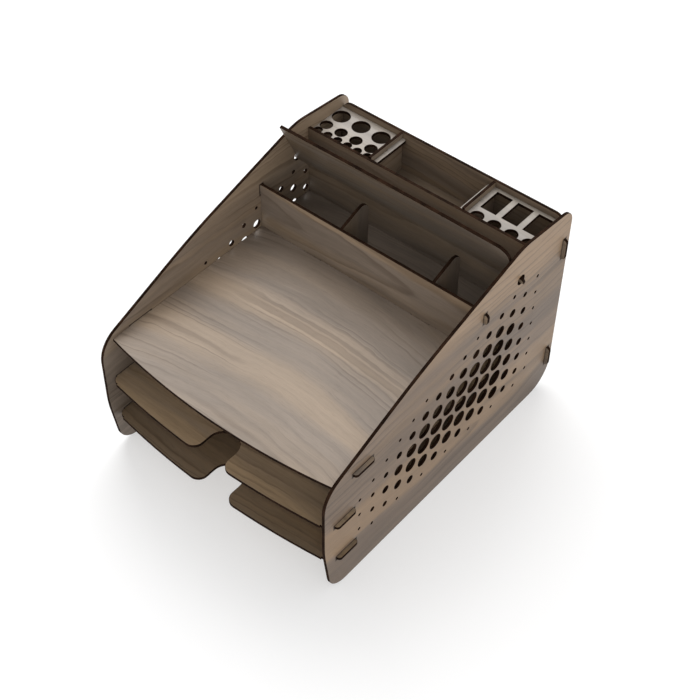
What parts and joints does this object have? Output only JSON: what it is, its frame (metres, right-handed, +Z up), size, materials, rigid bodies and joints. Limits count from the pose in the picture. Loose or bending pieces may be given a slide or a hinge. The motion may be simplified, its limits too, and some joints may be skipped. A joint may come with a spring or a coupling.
{
  "type": "desk organizer",
  "caption": "Desktop paper organizer of slotted walnut-faced boards: letter shelves, a lidded compartment with a swinging lid, and a rear row of pen and tool grids.",
  "frame": {"origin": "middle of the footprint on the desk, under the centre of the bounding box", "axes": "+X to the user's right, +Y to the back, +Z up"},
  "size_m": [0.2652, 0.337, 0.2404],
  "materials": {
    "side_board": "walnut veneer, satin, scorched edges",
    "shelf_board": "walnut veneer, satin, scorched edges",
    "deck_board": "walnut veneer, satin, scorched edges",
    "inner_board": "walnut veneer, satin, scorched edges",
    "grid_board": "walnut veneer, satin, scorched edges",
    "lid_board": "walnut veneer, satin, scorched edges"
  },
  "bodies": {
    "case": {"side_panel_left": "side_board", "side_panel_right": "side_board", "back_panel": "inner_board", "shelf_bottom": "shelf_board", "shelf_middle": "shelf_board", "shelf_top": "deck_board", "compartment_lip": "inner_board", "compartment_rear_wall": "inner_board", "compartment_fin_left": "inner_board", "compartment_fin_right": "inner_board", "tray_divider_left": "inner_board", "tray_divider_right": "inner_board", "bin_floor": "inner_board", "pen_grid": "grid_board", "tool_grid": "grid_board"},
    "lid": {"lid": "lid_board"}
  },
  "joints": [
    {"name": "lid_hinge", "type": "hinge", "parent": "case", "child": "lid", "pos_m": [0, 0.0944, 0.1884], "axis": [-1, 0, 0], "range_deg": [-38.4, 54]}
  ]
}
